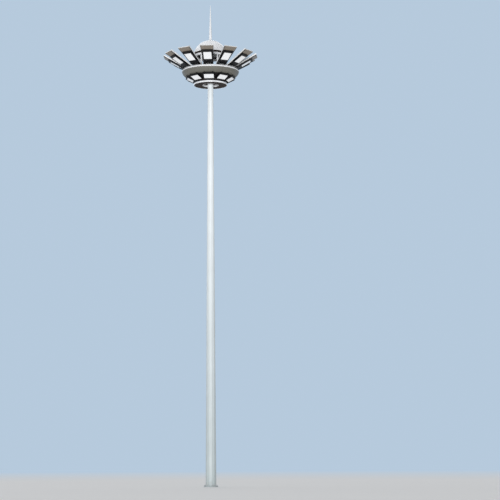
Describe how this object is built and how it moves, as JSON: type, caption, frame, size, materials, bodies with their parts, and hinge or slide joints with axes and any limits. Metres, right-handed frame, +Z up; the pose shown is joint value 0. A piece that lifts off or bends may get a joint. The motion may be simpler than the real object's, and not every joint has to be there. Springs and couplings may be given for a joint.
{
  "type": "high mast floodlight tower",
  "caption": "Tall tapered many-sided mast with a saucer and petal head of floodlights under a dome and spire; the lamp carriage runs down the mast on hoist ropes.",
  "frame": {"origin": "centre of the base flange's bottom face", "axes": "+Z up along the mast, -Y towards the petal and lower floodlight that face front, +X to the right seen from the front; the service door is at +Y"},
  "size_m": [5.8392, 5.8392, 30],
  "materials": {
    "mast_paint": "satin paint over galvanised steel",
    "stainless": "brushed",
    "galvanised": "spangled zinc, matt",
    "wire_rope": "laid steel wire",
    "rubber_black": "matt",
    "dome_white": "satin paint",
    "shadow_black": "matt paint",
    "saucer_grey": "satin paint",
    "petal_sheet": "satin paint, light edges",
    "lamp_black": "black powder coat",
    "lamp_glass": "frosted"
  },
  "bodies": {
    "mast": {"base_flange": "mast_paint", "mast_lower": "mast_paint", "mast_middle": "mast_paint", "mast_upper": "mast_paint", "door_frame": "mast_paint", "door_leaf": "mast_paint", "door_hinges": "stainless", "door_locks": "stainless", "head_plate": "galvanised", "head_arms": "galvanised", "dock_buffers": "rubber_black", "head_pulleys": "galvanised", "pulley_cheeks": "galvanised", "hoist_ropes": "wire_rope", "dome_shell": "dome_white", "dome_skirt": "shadow_black", "finial": "dome_white", "finial_collar": "dome_white"},
    "carriage": {"crown_ring": "dome_white", "crown_posts": "dome_white", "saucer_rim": "dome_white", "saucer_band": "saucer_grey", "saucer_cone": "saucer_grey", "saucer_neck": "shadow_black", "lower_rim": "dome_white", "underside_plate": "shadow_black", "passage_tube": "dome_white", "saucer_deck": "saucer_grey", "guide_rollers": "rubber_black", "guide_forks": "galvanised", "rope_anchors": "galvanised", "petal_01": "petal_sheet", "petal_02": "petal_sheet", "petal_03": "petal_sheet", "petal_04": "petal_sheet", "petal_05": "petal_sheet", "petal_06": "petal_sheet", "petal_07": "petal_sheet", "petal_08": "petal_sheet", "petal_09": "petal_sheet", "petal_10": "petal_sheet", "petal_11": "petal_sheet", "petal_12": "petal_sheet", "petal_brackets": "galvanised", "upper_lamp_bodies": "lamp_black", "upper_lamp_lenses": "lamp_glass", "lower_lamp_bodies": "lamp_black", "lower_lamp_lenses": "lamp_glass"}
  },
  "joints": [
    {"name": "carriage_lift", "type": "slide", "parent": "mast", "child": "carriage", "axis": [0, 0, -1], "range_m": [0, 23.2]}
  ]
}
